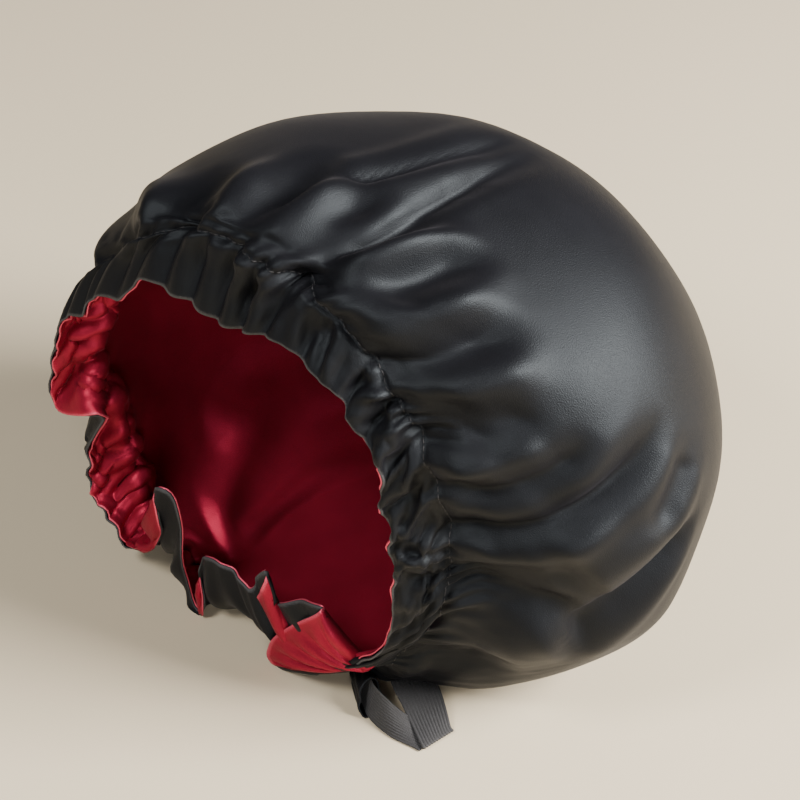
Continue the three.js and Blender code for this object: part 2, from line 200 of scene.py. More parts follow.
# %% [markdown]
# ## The form of the crown
# The same sizes and tables describe the solid model: sections from the hem to the back, folds,
# swells and gathers. Lengths in a table are shares of the named sizes. Reach runs from the hem,
# 0, along the cloth to the back of the crown, 1. Angles go round the mouth from its right side
# over the top.

# %% Sizes in millimetres
MOUTH_WIDTH, MOUTH_HEIGHT, MOUTH_RISE, MOUTH_SHIFT = 196, 179, 9, -8
CASING_LENGTH, CASING_PUFF = 30, 1.6
CROWN_WIDTH, CROWN_HEIGHT, CROWN_DEPTH = 296, 244, 196
FOLD_DEPTH, FOLD_WIDTH = 7, 9
GATHER_DEPTH, GATHER_CREST, GATHER_ROUNDNESS = 7, 0.45, 0.3
STITCH_REACH, PLEAT_REACH = 0.11, 0.24
UNDERSIDE_SQUARENESS, UNDERSIDE_ONSET = 0.68, 2.2
SATIN_THICKNESS, LINING_THICKNESS, LAYER_GAP = 0.8, 0.6, 1.6


SECTIONS = table("reach mouth casing depth left right bottom top lean", [
    [0, 1, 0, 0, 0, 0, 0, 0, 0],
    [0.055, 0.75, 0.3, 0, -0.093, 0.103, -0.028, 0.266, 0],
    [0.11, 0.5, 0.53, 0, -0.179, 0.213, -0.031, 0.52, -0.17],
    [0.18, 0.25, 0.53, 0.046, -0.285, 0.377, -0.034, 0.75, -0.2],
    [0.27, 0, 0.53, 0.153, -0.399, 0.541, -0.037, 0.959, -0.13],
    [0.38, 0, 0.53, 0.316, -0.409, 0.584, -0.041, 0.959, 0],
    [0.5, 0, 0.53, 0.485, -0.389, 0.578, -0.033, 0.943, 0.07],
    [0.62, 0, 0.53, 0.653, -0.331, 0.527, -0.008, 0.898, 0.07],
    [0.74, 0, 0.53, 0.811, -0.236, 0.432, 0.041, 0.807, 0],
    [0.86, 0, 0.53, 0.934, -0.095, 0.284, 0.172, 0.668, 0],
    [0.94, 0, 0.53, 0.985, 0, 0.182, 0.311, 0.537, 0],
    [1, 0, 0.53, 1, 0.091, 0.091, 0.426, 0.426, 0],
])

# %% [markdown]
# A fold runs through three places. Its width and rise are shares of a full fold. Where one fold
# lies on the next, `lap` lifts the cloth on the side of the larger angle and pulls it over.

# %% Folds, swells and gathers
FOLD_COLUMNS = "a0 r0 a1 r1 a2 r2 width rise lap"
FOLDS = named(FOLD_COLUMNS, [
    [73, 0.08, 80, 0.25, 81, 0.68, 0.8, -0.75, 0.75],
    [94, 0.33, 88.5, 0.44, 87, 0.66, 0.7, -0.45, 0.45],
    [80, 0.08, 89, 0.22, 90, 0.34, 0.8, 0.65, 0],
    [83, 0.13, 85.5, 0.24, 86.5, 0.35, 0.8, -0.95, 0],
    [95, 0.1, 99, 0.19, 109, 0.33, 0.9, 0.7, 0],
    [90, 0.11, 97, 0.22, 102, 0.39, 0.9, -0.8, 0],
    [104, 0.08, 110, 0.16, 119, 0.3, 1, -0.6, 0],
    [115, 0.08, 124, 0.17, 134, 0.3, 1, 0.5, 0],
    [128, 0.09, 138, 0.18, 150, 0.34, 1, -0.6, 0],
    [77, 0.19, 73.5, 0.29, 69, 0.37, 1, 0.6, 0],
    [79, 0.17, 78, 0.28, 71, 0.38, 0.7, -0.55, 0],
    [62, 0.2, 67, 0.27, 69, 0.36, 0.9, -0.9, 0],
    [58, 0.13, 60, 0.22, 60, 0.34, 1.1, 0.6, 0],
    [50, 0.12, 51, 0.2, 57, 0.32, 1, -0.9, 0.25],
    [45, 0.13, 45, 0.21, 47, 0.31, 1.2, 0.45, 0],
    [31, 0.1, 37, 0.15, 42, 0.2, 0.9, -0.6, 0],
    [31, 0.17, 34, 0.21, 38, 0.27, 1.1, -0.55, 0],
    [18, 0.13, 23, 0.22, 31, 0.31, 0.8, -0.8, 0.35],
    [25, 0.14, 27, 0.2, 30, 0.26, 1.1, 0.45, 0],
    [8, 0.1, 14, 0.24, 30, 0.43, 0.9, -1, 0.45],
    [4, 0.11, 7, 0.2, 11, 0.32, 1.1, 0.55, 0],
    [0, 0.1, 359, 0.2, 357, 0.29, 1.1, -1, 0.3],
    [353, 0.12, 352, 0.19, 350, 0.27, 0.6, -0.45, 0.6],
    [17, 0.44, 11, 0.4, 4, 0.35, 0.8, -0.5, 0],
    [341, 0.25, 351, 0.32, 5, 0.47, 1, -1.2, 0.7],
    [333, 0.16, 338, 0.2, 343, 0.25, 0.9, 0.45, 0],
    [320, 0.12, 324, 0.16, 329, 0.22, 1, -0.9, 0],
    [160, 0.1, 166, 0.2, 172, 0.36, 1.1, -0.65, 0],
    [176, 0.11, 184, 0.22, 190, 0.38, 1.2, 0.55, 0],
    [194, 0.1, 203, 0.2, 214, 0.34, 1.1, -0.7, 0],
])
SWELLS = named("angle reach wide long rise", [
    [48, 0.5, 26, 0.16, 0.45],
    [105, 0.52, 20, 0.14, -0.35],
    [20, 0.22, 14, 0.1, -0.5],
    [335, 0.4, 16, 0.12, 0.55],
    [150, 0.45, 24, 0.16, 0.4],
    [200, 0.5, 20, 0.14, -0.5],
])
GATHERS = table("angle hem pleat", [
    [8, 0.45, 0.3], [20, 0.6, 0.45], [31, 0.4, 0.4],
    [46, 0.45, 0.35], [60, 0.4, 0.3], [72, 0.65, 0.5],
    [84, 0.45, 0.3], [95, 0.65, 0.35], [106, 0.5, 0.35],
    [118, 0.6, 0.35], [131, 0.7, 0.35], [144, 0.65, 0.35],
    [158, 0.8, 0.4], [171, 0.75, 0.4], [184, 0.85, 0.4],
    [195, 1.1, 0.4], [206, 1.3, 0.4], [221, 1, 0.35],
    [240, 1.9, 0.35], [270, 2.2, 0], [292, 1.2, 0],
    [306, 1.3, 0.2], [322, 0.55, 0.45], [340, 0.65, 0.45],
    [354, 0.5, 0.4],
])


# %% The plain form
def smooth(t):
    """From 0 to 1 with soft ends."""
    x = np.clip(t, 0, 1)
    return x * x * (3 - 2 * x)


def bell(x, width):
    """1 at zero, fading to both sides within the width."""
    return np.exp(-((x / width) ** 2))


def waves(at, rows):
    """A sum of sine waves."""
    return sum(row["height"] * np.sin(row["count"] * at + row["shift"]) for row in rows)


def section_sizes(mouth, casing, depth, left, right, bottom, top, lean):
    """The edges, depth and lean of each section, in millimetres."""
    return np.stack([
        mouth * (MOUTH_SHIFT - MOUTH_WIDTH / 2) + left * CROWN_WIDTH,
        mouth * (MOUTH_SHIFT + MOUTH_WIDTH / 2) + right * CROWN_WIDTH,
        mouth * MOUTH_RISE + bottom * CROWN_HEIGHT,
        mouth * (MOUTH_RISE + MOUTH_HEIGHT) + top * CROWN_HEIGHT,
        casing * CASING_LENGTH + depth * CROWN_DEPTH,
        lean * CASING_LENGTH,
    ], -1)


SECTION_REACH = SECTIONS.pop("reach")
SECTION_SIZES = section_sizes(**SECTIONS)


def smooth_curve(knots, sizes, at):
    """Rows of sizes at uneven knots, joined by a smooth curve."""
    k = np.clip(np.searchsorted(knots, at, side="right") - 1, 0, len(knots) - 2)
    before, after = np.maximum(k - 1, 0), np.minimum(k + 2, len(knots) - 1)
    span = knots[k + 1] - knots[k]
    t = ((at - knots[k]) / span)[..., None]
    slope0 = (sizes[k + 1] - sizes[before]) / (knots[k + 1] - knots[before])[..., None]
    slope1 = (sizes[after] - sizes[k]) / (knots[after] - knots[k])[..., None]
    span = span[..., None]
    return (
        (1 + 2 * t) * (1 - t) ** 2 * sizes[k]
        + t * (1 - t) ** 2 * span * slope0
        + t * t * (3 - 2 * t) * sizes[k + 1]
        + t * t * (t - 1) * span * slope1
    )


def section_at(reach):
    return smooth_curve(SECTION_REACH, SECTION_SIZES, reach)


def form_point(angle, reach):
    """The crown's plain form, before folds and gathers."""
    left, right, bottom, top, back, lean = np.moveaxis(section_at(reach), -1, 0)
    c, s = np.cos(angle), np.sin(angle)
    power = 1 - (1 - UNDERSIDE_SQUARENESS) * np.clip(-s * UNDERSIDE_ONSET, 0, 1)
    across = np.sign(c) * np.abs(c) ** power
    return np.stack([
        (left + right) / 2 + (right - left) / 2 * across,
        back + lean * s,
        (bottom + top) / 2 + (top - bottom) / 2 * s,
    ], -1)


def unit(v):
    return v / np.maximum(np.linalg.norm(v, axis=-1, keepdims=True), 1e-9)


def form_frame(angle, reach):
    """The outward way that folds move along, and the way round the mouth."""
    step, stretch = 0.002, STITCH_REACH / 2
    low = np.maximum(0, np.minimum(1 - step, reach) - stretch)
    high = np.minimum(1 - step / 2, np.maximum(STITCH_REACH, reach + stretch))
    near = np.minimum(1 - 2 * step, reach)
    round_it = unit(form_point(angle + step, near) - form_point(angle - step, near))
    along = form_point(angle, high) - form_point(angle, low)
    return unit(np.cross(along, round_it)), round_it


# %% [markdown]
# ## Folds on the cloth
# Each fold is a line on the cloth spread flat. A point's distance to it gives the height of a
# soft groove or ridge, and its side gives the step of a lap. A lap also slides the cloth across
# the line, so that the upper fold hangs over the lower one.

# %% Fold heights
CLOTH_LENGTH = CASING_LENGTH + CROWN_DEPTH + CROWN_HEIGHT / 2
FOLD_STEPS = 14
SHOULDER, SHOULDER_AT, SHOULDER_WIDTH = 0.22, 1.9, 0.8
LAP_STEEPNESS, LAP_WIDTH = 4, 1.5
OVERHANG, OVERHANG_AT, OVERHANG_WIDTH = 0.5, 0.25, 0.45


def flat(degrees, reach):
    """A place on the cloth spread flat, in millimetres."""
    left, right, bottom, top, _, _ = np.moveaxis(section_at(reach), -1, 0)
    radius = (right - left + top - bottom) / 4
    return np.stack([np.radians(degrees) * radius, reach * CLOTH_LENGTH], -1)


def fold_line(fold):
    t = np.linspace(0, 1, FOLD_STEPS + 1)
    near = [fold["a1"] + (a - fold["a1"] + 180) % 360 - 180 for a in (fold["a0"], fold["a2"])]
    w0, w1, w2 = (1 - t) * (1 - 2 * t), 4 * t * (1 - t), t * (2 * t - 1)
    angle = w0 * near[0] + w1 * fold["a1"] + w2 * near[1]
    reach = w0 * fold["r0"] + w1 * fold["r1"] + w2 * fold["r2"]
    return flat(angle, reach)


def beside_fold(fold, degrees, reach):
    """Distance to a fold, the signed distance beside it and the share along it."""
    angle = fold["a1"] + (degrees - fold["a1"] + 180) % 360 - 180
    place = flat(angle, reach)
    line = fold_line(fold)
    best = np.full(degrees.shape, np.inf)
    beside, share = np.zeros(degrees.shape), np.zeros(degrees.shape)
    for i in range(FOLD_STEPS):
        d = line[i + 1] - line[i]
        w = place - line[i]
        length = np.hypot(*d)
        t = np.clip((w @ d) / length**2, 0, 1)
        distance = np.hypot(w[..., 0] - t * d[0], w[..., 1] - t * d[1])
        closer = distance < best
        best = np.where(closer, distance, best)
        side = (w[..., 0] * d[1] - w[..., 1] * d[0]) / length
        beside = np.where(closer, side, beside)
        share = np.where(closer, (i + t) / FOLD_STEPS, share)
    return best, beside, share


def fold_field(degrees, reach, sharp=1.0):
    """Height and sideways slide that all folds give the cloth."""
    rise = np.zeros(degrees.shape)
    slide = np.zeros(degrees.shape)
    for fold in FOLDS:
        distance, beside, share = beside_fold(fold, degrees, reach)
        width = fold["width"] * FOLD_WIDTH
        x = distance / width
        fade = smooth(share / 0.25 + 0.35) * smooth((1 - share) / 0.3)
        groove = np.exp(-x * x)
        shoulder = SHOULDER * bell(x - SHOULDER_AT, SHOULDER_WIDTH)
        rise += fold["rise"] * (groove - shoulder) * fade
        if fold["lap"]:
            side = beside / width
            past = np.maximum(0, x - np.abs(side))
            step = np.tanh(side * LAP_STEEPNESS * sharp) * bell(side, LAP_WIDTH)
            step = step * np.exp(-past * 2)
            rise += fold["lap"] * step * fade
            over = bell(side - OVERHANG_AT, OVERHANG_WIDTH) * np.exp(-past)
            slide -= fold["lap"] * over * fade * OVERHANG * sharp
    for swell in SWELLS:
        x = ((degrees - swell["angle"] + 180) % 360 - 180) / swell["wide"]
        y = (reach - swell["reach"]) / swell["long"]
        rise += swell["rise"] * np.exp(-x * x - y * y)
    return rise * FOLD_DEPTH, slide * FOLD_WIDTH


# %% Gather waves
def gather_field(degrees, reach):
    """How far the gathers move the cloth out, and round the mouth."""
    a = degrees % 360
    count = len(GATHERS["angle"])
    found = np.searchsorted(GATHERS["angle"], a, side="right")
    low, high = (found - 1) % count, found % count
    span = (GATHERS["angle"][high] - GATHERS["angle"][low]) % 360
    t = ((a - GATHERS["angle"][low]) % 360) / span
    casing = np.maximum(0, 1 - reach / STITCH_REACH)
    pleat = smooth((PLEAT_REACH - reach) / (PLEAT_REACH - STITCH_REACH))

    def size(k):
        return casing * GATHERS["hem"][k] + (1 - casing) * pleat * GATHERS["pleat"][k]

    near = np.where(t < 0.5, size(low), size(high))
    dip = np.cos(np.pi * t) ** 2 * near
    crest = np.sin(np.pi * t) ** 2 * (size(low) + size(high)) * GATHER_CREST / 2
    arc = np.radians(span) * (MOUTH_WIDTH + MOUTH_HEIGHT) / 4
    shift = arc * GATHER_ROUNDNESS * np.sin(4 * np.pi * t) / (4 * np.pi)
    return (crest - dip) * GATHER_DEPTH, shift * casing


# %% [markdown]
# ## The hem's course
# The hem sways all the way round the mouth. Where the mouth rests on the floor the casing is
# crumpled: it stands up and falls into deep doubled pleats. A wave can't fold back on itself, so
# the hem's course is given as places in the plane of the mouth. The casing runs straight from
# them to the row of stitches.

# %% Hem course, in millimetres
HEM_COURSE = table("angle across up", [
    [0, 91, 99], [7, 88, 112], [14, 88, 124],
    [19, 84, 133], [24, 83, 140], [31, 86, 153],
    [39, 79, 165], [46, 70, 174], [52, 66, 182],
    [60, 52, 188], [68, 34, 194], [76, 18, 191],
    [83, 6, 188], [91, -8, 188], [96, -17, 190],
    [100, -25, 189], [105, -35, 190], [110, -46, 187],
    [115, -54, 176], [119, -60, 169], [124, -71, 166],
    [130, -81, 158], [135, -86, 148], [141, -96, 143],
    [148, -104, 131], [155, -108, 120], [162, -112, 109],
    [169, -115, 96], [175, -116, 86], [179, -110, 80],
    [182, -96, 85], [184, -82, 91], [186, -87, 82],
    [190, -95, 68], [195, -99, 59], [199, -97, 53],
    [204, -100, 45], [209, -98, 37], [214, -93, 32],
    [220, -86, 27], [226, -79, 19], [230, -74, 14],
    [233, -62, 20], [236, -50, 34], [239, -46, 50],
    [242, -50, 66], [245, -42, 71], [248, -36, 60],
    [251, -35, 42], [254, -34, 20], [256, -32, 6],
    [258, -27, 2], [260, -22, 11], [263, -25, 29],
    [266, -22, 41], [270, -12, 45], [275, 0, 43],
    [279, 9, 41], [282, 12, 50], [285, 19, 59],
    [288, 18, 48], [291, 13, 38], [295, 20, 38],
    [299, 31, 47], [303, 42, 54], [307, 52, 57],
    [310, 48, 51], [314, 34, 35], [318, 22, 18],
    [322, 18, 4], [326, 26, 1], [330, 38, 9],
    [334, 50, 19], [338, 61, 28], [342, 72, 35],
    [346, 81, 46], [350, 87, 60], [355, 89, 80],
    [360, 91, 99],
])


# %% Parts of the mouth
# Each part's start, the width of its soft rise, its end and the width of its fall, in degrees.
PARTS = {name: stretch for name, *stretch in [
    ["crumpled", 205, 12, 356, 10],
    ["belly", 222, 14, 345, 14],
    ["far side", 95, 30, 232, 20],
    ["near side", 0, 12, 118, 30],
    ["lining puckers", 110, 25, 238, 14],
    ["turned-out lobe", 299, 5, 334, 6],
    ["sheared casing", 322, 6, 358, 6],
]}
NEAR_SIDE_TURN = 20
BELLY, BELLY_END = 8, 1.5
COLLAR, COLLAR_AT, COLLAR_WIDTH = 6, 1.1, 0.05
HEM_END = 1.15


def part(name, degrees):
    """1 in a part of the mouth and 0 elsewhere."""
    start, rise, end, fall = PARTS[name]
    u = degrees % 360
    return smooth((u - start) / rise) * smooth((end - u) / fall)


def hem_move(degrees, reach):
    """The way from the plain form to the hem's course, fading towards the stitches."""
    u = degrees % 360
    course = np.stack([HEM_COURSE["across"], HEM_COURSE["up"]], -1)
    place = smooth_curve(HEM_COURSE["angle"], course, u)
    plain = form_point(np.radians(degrees), np.zeros(degrees.shape))
    fade = np.clip(1 - reach / (HEM_END * STITCH_REACH), 0, 1)
    move = np.zeros(degrees.shape + (3,))
    move[..., 0] = (place[..., 0] - plain[..., 0]) * fade
    move[..., 2] = (place[..., 1] - plain[..., 2]) * fade
    # Where the hem stands up, the casing bellies forward.
    belly = np.sin(np.pi * np.clip(reach / (BELLY_END * STITCH_REACH), 0, 1))
    move[..., 1] = -BELLY * part("belly", degrees) * belly
    # On the far side the stitches pull in and the casing flares out from them as a collar.
    collar = part("far side", degrees) * bell(reach - COLLAR_AT * STITCH_REACH, COLLAR_WIDTH)
    move[..., 0] -= COLLAR * collar * np.cos(np.radians(u))
    move[..., 2] -= COLLAR * collar * np.sin(np.radians(u))
    return move


# %% [markdown]
# ## Puckers
# The elastic crowds the casing into round puckers with sharp creases between them, and each
# runs on into the crown as a short pleat. Real ones are uneven, so the wave that makes them
# drifts round the mouth, leans one way and the other, and changes its height.

# %% Puckers and slack
PUCKER_DEPTH, PUCKER_COUNT, PUCKER_CROWDING = 11, 42, 4
SEAM_PUCKER, SEAM_PUCKER_COUNT, SEAM_PUCKER_WIDTH = 1.2, 73, 0.035
STITCH_DRAW, STITCH_DRAW_WIDTH = 2.2, 0.008
PUCKER_DRIFT = named("height count shift", [
    [1.1, 3, 0.7],
    [0.8, 7, 2.1],
    [0.5, 11, 4],
])
PUCKER_LEAN = named("height count shift", [
    [1.3, 5, 3],
    [0.7, 13, 0],
])


def puckers(angle, reach):
    """Round puckers on the casing and the pleats that run on from them."""
    drift = waves(angle, PUCKER_DRIFT)
    lean = waves(angle, PUCKER_LEAN)
    across = np.clip(reach / STITCH_REACH - 0.5, -0.5, 2)
    phase = PUCKER_COUNT / 2 * angle - PUCKER_CROWDING * np.sin(angle)
    phase = phase + 0.42 * drift + 0.55 * lean * across
    pucker = np.sqrt(np.sin(phase) ** 2 + 0.015) - 0.6
    size = 0.7 + 0.3 * np.sin(5 * angle + 1) * np.sin(13 * angle + 2)
    casing = 0.5 + 0.5 * np.sin(np.pi * np.clip(reach / STITCH_REACH, 0, 1))
    crown = 0.45 * np.exp(-np.maximum(0, reach - STITCH_REACH) / 0.05)
    ends = np.where(reach < STITCH_REACH, casing, crown)
    near_seam = bell(reach - STITCH_REACH, SEAM_PUCKER_WIDTH)
    fine = np.sin(SEAM_PUCKER_COUNT * angle + 2 * drift + 3 * lean * across) * near_seam
    return PUCKER_DEPTH * size * pucker * ends + SEAM_PUCKER * size * fine


def slack(angle, reach):
    """Very soft, wide unevenness of the whole crown."""
    return 0.8 * smooth((reach - 0.15) / 0.3) * smooth((0.9 - reach) / 0.3) * (
        np.sin(5 * angle + 9 * reach) * np.sin(7 * reach + 2 * angle)
        + 0.6 * np.sin(9 * angle - 14 * reach + 1)
    )


# %% Layers of the cloth
def on_casing(reach):
    """1 on the casing, fading out behind the stitches."""
    return smooth((1.3 * STITCH_REACH - reach) / (0.5 * STITCH_REACH))


def crown_layer(angle, reach, sharp=1.0):
    """The crown's outer surface in millimetres from the mouth, with its outward way."""
    degrees = np.degrees(angle)
    out, round_it = form_frame(angle, reach)
    gather, turn = gather_field(degrees, reach)
    rise, slide = fold_field(degrees, reach, sharp)
    started = smooth(reach / 0.1)
    free = 1 - on_casing(reach)
    puff = CASING_PUFF * np.sin(np.pi * np.minimum(1, reach / STITCH_REACH))
    height = gather * free + puff + (rise + slack(angle, reach)) * started
    puckered = (1 - part("crumpled", degrees)) * (1 - 0.6 * part("far side", degrees))
    height = height + puckers(angle, reach) * puckered
    # The stitches draw the cloth in along their line.
    height = height - STITCH_DRAW * bell(reach - STITCH_REACH, STITCH_DRAW_WIDTH)
    point = form_point(angle, reach) + hem_move(degrees, reach)
    point = point + out * height[..., None]
    point = point + round_it * (turn * free + slide * started)[..., None]
    return point, out


CROWDED_ANGLE, CROWDING = 320, 0.25
FLOOR_GAP = 0.15


def turns(count):
    """Even angles round a full turn."""
    return np.linspace(0, 2 * np.pi, count, endpoint=False)


def column_angles(count):
    """Columns round the crown, closer together where the hem is crumpled."""
    u = turns(count)
    return u - CROWDING * np.sin(u - math.radians(CROWDED_ANGLE))


def sheet_rows(ends, counts):
    """Rows from the hem to the back, with an even step between each end and the next."""
    rows = [np.linspace(a, b, n)[1:] for a, b, n in zip(ends, ends[1:], counts)]
    return np.concatenate([ends[:1], *rows])


def sheet_faces(rows, columns):
    """Faces of a grid that runs round the crown, each pointing outwards."""
    k, i = np.meshgrid(np.arange(rows - 1), np.arange(columns), indexing="ij")
    j = (i + 1) % columns
    a, b = k * columns + i, k * columns + j
    return np.stack([a, a + columns, b + columns, b], -1).reshape(-1, 4).tolist()


def add_mesh(name, points, faces):
    """A new piece from points in metres and faces."""
    mesh = bpy.data.meshes.new(name)
    mesh.from_pydata(points.reshape(-1, 3).tolist(), [], faces)
    mesh.update()
    piece = bpy.data.objects.new(name, mesh)
    bpy.context.collection.objects.link(piece)
    return piece


def sheet_mesh(name, points, tip=None):
    """A sheet of rows of points round the crown, closed at the back by one tip."""
    rows, columns = points.shape[:2]
    faces = sheet_faces(rows, columns)
    points = points.reshape(-1, 3)
    if tip is not None:
        points = np.concatenate([points, tip])
        last = (rows - 1) * columns
        for i in range(columns):
            faces.append((last + i, rows * columns, last + (i + 1) % columns))
    return add_mesh(name, points, faces)


def to_metres(points):
    """From millimetres at the mouth to metres at the origin, with the floor kept clear."""
    placed = points + TO_ORIGIN
    placed[..., 2] = np.maximum(placed[..., 2], FLOOR_GAP)
    return placed * MM


def select_only(piece):
    bpy.ops.object.select_all(action="DESELECT")
    piece.select_set(True)
    bpy.context.view_layer.objects.active = piece


def face_outwards(piece):
    """Turns every face of a closed piece outwards."""
    select_only(piece)
    bpy.ops.object.mode_set(mode="EDIT")
    bpy.ops.mesh.select_all(action="SELECT")
    bpy.ops.mesh.normals_make_consistent(inside=False)
    bpy.ops.object.mode_set(mode="OBJECT")


def finish_sheet(piece, thickness):
    """Gives a sheet its thickness inwards and smooth shading."""
    modifier = piece.modifiers.new("thickness", "SOLIDIFY")
    modifier.thickness = thickness * MM
    modifier.offset = -1
    select_only(piece)
    bpy.ops.object.modifier_apply(modifier=modifier.name)
    bpy.ops.object.shade_smooth()
    print(piece.name, len(piece.data.polygons), "faces")


# %% [markdown]
# ## Letting the cloth settle
# A drawn-in cloth is wider than the ring that holds it, and it buckles to make room. That is
# hard to draw and easy to simulate. The front of the crown is copied as a coarse sheet with a
# second shape, the cut cloth, which is wider round the casing. Blender's cloth takes its
# lengths from that shape, so the sheet grows into real puckers. The stitches and the back hold
# it in place, and no point may go far. What moved is then spread over the fine crown.

# %% Cut shape
CUT_GIRTH, CASING_ROWS, CASING_FULLNESS = 1100, 14, 1.08
MOST_MOVED = 7.0
SETTLE_FRAMES = 14


def cut_shape(points, girth):
    """The sheet as it was cut: a tube as wide as the girth, with every length along it kept."""
    around = np.linalg.norm(np.roll(points, -1, 1) - points, axis=-1)
    length = around.sum(axis=1)
    share = (around / length[:, None])[:CASING_ROWS].mean(axis=0)
    turn = 2 * np.pi * np.concatenate([[0], np.cumsum(share)[:-1]])
    radius = np.maximum(length, girth)[:, None] / (2 * np.pi)
    along = np.linalg.norm(np.diff(points, axis=0), axis=-1)
    along = sum(np.roll(along, k, 1) for k in range(-3, 4)) / 7
    climb = np.sqrt(np.maximum(along**2 - np.diff(radius, axis=0) ** 2, (0.3 * along) ** 2))
    climb[:CASING_ROWS + 2] *= CASING_FULLNESS
    depth = np.concatenate([np.zeros((1, climb.shape[1])), np.cumsum(climb, axis=0)])
    return np.stack([radius * np.cos(turn), depth, radius * np.sin(turn)], -1)


def hold_group(piece, hold):
    """A vertex group that says how firmly each point is held."""
    group = piece.vertex_groups.new(name="held")
    steps = np.round(hold.reshape(-1), 3)
    for value in np.unique(steps):
        group.add(np.nonzero(steps == value)[0].tolist(), float(value), "REPLACE")


def settle(points, girth, hold):
    """The points of a sheet after cloth simulation."""
    rows, columns = points.shape[:2]
    piece = sheet_mesh("settling_cloth", points * MM)
    piece.shape_key_add(name="Basis")
    cut = piece.shape_key_add(name="cut")
    cut.data.foreach_set("co", (cut_shape(points, girth) * MM).reshape(-1))
    hold_group(piece, hold)
    cloth = piece.modifiers.new("cloth", "CLOTH")
    satin = cloth.settings
    satin.rest_shape_key = cut
    satin.vertex_group_mass = "held"
    satin.effector_weights.gravity = 0
    satin.quality = 5
    satin.mass = 0.02
    satin.tension_stiffness = satin.compression_stiffness = 10
    satin.shear_stiffness = 5
    satin.bending_stiffness = 7
    satin.use_pressure = True
    satin.uniform_pressure_force = 2
    cloth.collision_settings.use_self_collision = True
    cloth.collision_settings.self_distance_min = 0.0012
    cloth.point_cache.frame_start = 1
    cloth.point_cache.frame_end = SETTLE_FRAMES
    for number in range(1, SETTLE_FRAMES + 1):
        bpy.context.scene.frame_set(number)
    settled = piece.evaluated_get(bpy.context.evaluated_depsgraph_get()).to_mesh()
    found = np.empty(rows * columns * 3, dtype=np.float32)
    settled.vertices.foreach_get("co", found)
    bpy.data.objects.remove(piece)
    bpy.context.scene.frame_set(1)
    return found.reshape(rows, columns, 3).astype(float) / MM


# %% Spread a move over a finer sheet
def smooth_sample(values, place, wraps=False):
    """Values of evenly spaced rows at places between them, on a smooth curve."""
    n = len(values)
    k = np.floor(place).astype(int)
    u = (place - k).reshape(-1, *[1] * (values.ndim - 1))
    p = [values[(k + i) % n if wraps else np.clip(k + i, 0, n - 1)] for i in (-1, 0, 1, 2)]
    return 0.5 * (
        2 * p[1] + (p[2] - p[0]) * u
        + (2 * p[0] - 5 * p[1] + 4 * p[2] - p[3]) * u**2
        + (3 * p[1] - p[0] - 3 * p[2] + p[3]) * u**3
    )


def spread_move(move, columns, rows, angles, reaches):
    """A coarse sheet's move, on the rows and columns of a fine sheet."""
    turn = np.append(columns, columns[0] + 2 * np.pi)
    ahead = np.where(angles < columns[0], angles + 2 * np.pi, angles)
    places = np.interp(ahead, turn, np.arange(len(turn)))
    wide = np.moveaxis(smooth_sample(np.moveaxis(move, 1, 0), places, True), 0, 1)
    fine = smooth_sample(wide, np.interp(reaches, rows, np.arange(len(rows))))
    fine[reaches > rows[-1]] = 0
    return fine


# %% Settle the front of the crown
COLUMNS, ROW_ENDS, ROW_COUNTS = 460, [0, STITCH_REACH, 0.46, 0.985], [24, 50, 26]
COARSE_COLUMNS, COARSE_ENDS, COARSE_COUNTS = 224, [0, STITCH_REACH, 0.44], [CASING_ROWS, 36]
COARSE_SHARPNESS, COARSE_LIFT = 0.4, 0.4
LEAST_HOLD, HOLD_GAIN, HOLD_FROM, HOLD_LENGTH = 0.31, 0.69, 0.18, 0.24
STITCH_HOLD, STITCH_HOLD_WIDTH = 0.60, 0.006
CRUMPLED_HOLD = 0.9

angles = column_angles(COLUMNS)
reaches = sheet_rows(ROW_ENDS, ROW_COUNTS)
A, R = np.meshgrid(angles, reaches)
settled_move = np.zeros(A.shape + (3,))
coarse_angles = column_angles(COARSE_COLUMNS)
coarse_reaches = sheet_rows(COARSE_ENDS, COARSE_COUNTS)
coarse_A, coarse_R = np.meshgrid(coarse_angles, coarse_reaches)
coarse, _ = crown_layer(coarse_A, coarse_R, COARSE_SHARPNESS)
coarse -= hem_move(np.degrees(coarse_A), coarse_R)
coarse[..., 2] = np.maximum(coarse[..., 2], COARSE_LIFT)
hold = LEAST_HOLD + HOLD_GAIN * smooth((coarse_R - HOLD_FROM) / HOLD_LENGTH)
stitched = STITCH_HOLD * bell(coarse_R - STITCH_REACH, STITCH_HOLD_WIDTH)
move = settle(coarse, CUT_GIRTH, np.maximum(hold, stitched)) - coarse
far = np.linalg.norm(move, axis=-1, keepdims=True)
move = move * np.minimum(1, MOST_MOVED / np.maximum(far, 1e-6))
held = CRUMPLED_HOLD * part("crumpled", np.degrees(coarse_A)) * on_casing(coarse_R)
move = move * (1 - held)[..., None]
settled_move = spread_move(move, coarse_angles, coarse_reaches, angles, reaches)
print("settled by", far.mean().round(2), "mm on average, at most", far.max().round(1))

# %% [markdown]
# ## The crown
# The outer satin is one sheet, cut as a big round and drawn in by the casing. It is built row by
# row from the hem to the back, then given its thickness inwards. Cloth that folds back on itself
# is puckered along its own normals, once the rest of its form is known.

# %% Small puckers
CROWN_SHARPNESS = 0.5
CRUMPLE_RIPPLE, LOBE_ANGLE, LOBE_WIDTH = 1.9, 318, 16
CASING_BILLOW, BILLOW_COUNT = 1.8, 30
# Width in reach of the painted highlight along the hem's folded edge.
HEM_HIGHLIGHT_WIDTH = 0.004


def mark_hem_highlight(piece):
    """Notes on each point how near the hem's folded edge it is, for a painted highlight there.
    """
    near = np.repeat(bell(reaches, HEM_HIGHLIGHT_WIDTH), len(angles))
    note = piece.data.attributes.new("hem", "FLOAT", "POINT")
    note.data.foreach_set("value", np.append(near, 0))


